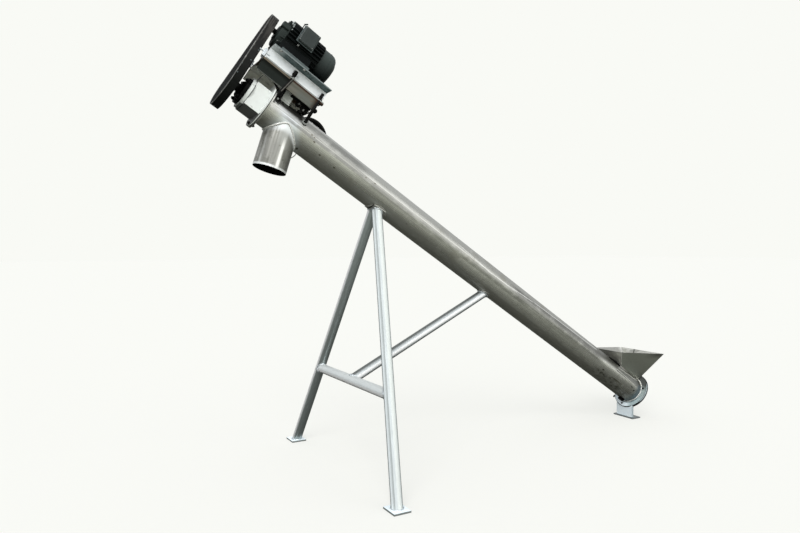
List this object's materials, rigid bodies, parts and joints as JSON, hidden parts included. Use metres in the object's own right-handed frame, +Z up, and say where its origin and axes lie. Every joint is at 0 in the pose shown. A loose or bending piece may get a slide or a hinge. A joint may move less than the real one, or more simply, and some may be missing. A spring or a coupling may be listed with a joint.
{
  "type": "inclined screw conveyor",
  "caption": "Inclined round-tube screw conveyor with a feed hopper, an outlet spout, an A-frame support and a belt-guarded, foot-mounted motor above the outlet.",
  "frame": {"origin": "the middle of the underside of the low foot's base plate, on the floor", "axes": "+Z up; the tube lies in the plane y = 0 and rises towards -X at 32.7 degrees; -Y is its left side, seen from the low end"},
  "size_m": [2.7504, 1.245, 2.132],
  "materials": {
    "stainless": "mill-finish stainless steel, faintly streaked",
    "hopper_steel": "dull stainless sheet",
    "galvanised": "bright galvanised, faintly blue",
    "bed_steel": "dark steel plate with rusty edges",
    "black_paint": "satin black paint, a little dusty",
    "motor_paint": "charcoal paint on cast aluminium",
    "housing_paint": "light grey paint",
    "rod_steel": "blackened steel"
  },
  "bodies": {
    "root": {"conveyor_tube": "stainless", "lower_flange": "stainless", "upper_flange": "stainless", "outlet_spout": "stainless", "screw_flight": "stainless", "screw_shaft": "rod_steel", "lower_end_cover": "galvanised", "lower_bearing": "black_paint", "lower_foot_post": "galvanised", "lower_foot_base": "galvanised", "hopper_upper_wall": "hopper_steel", "hopper_lower_wall": "hopper_steel", "hopper_left_wall": "hopper_steel", "hopper_right_wall": "hopper_steel", "bearing_housing": "housing_paint", "housing_cap": "housing_paint", "outer_bearing": "black_paint", "guard_back_plate": "black_paint", "guard_cover": "black_paint", "motor_body": "motor_paint", "motor_front_shield": "motor_paint", "motor_fan_cover": "motor_paint", "left_motor_foot": "motor_paint", "right_motor_foot": "motor_paint", "terminal_box": "motor_paint", "motor_shaft": "rod_steel", "left_rail": "galvanised", "right_rail": "galvanised", "platform": "bed_steel", "left_upper_stud": "rod_steel", "right_upper_stud": "rod_steel", "left_lower_stud": "rod_steel", "right_lower_stud": "rod_steel", "bed_saddle": "housing_paint", "hand_wheel": "black_paint", "wheel_bracket": "rod_steel", "leg_saddle": "galvanised", "brace_pad": "galvanised", "left_leg": "galvanised", "right_leg": "galvanised", "cross_brace": "galvanised", "diagonal_brace": "galvanised", "left_foot_plate": "galvanised", "right_foot_plate": "galvanised"}
  },
  "joints": []
}
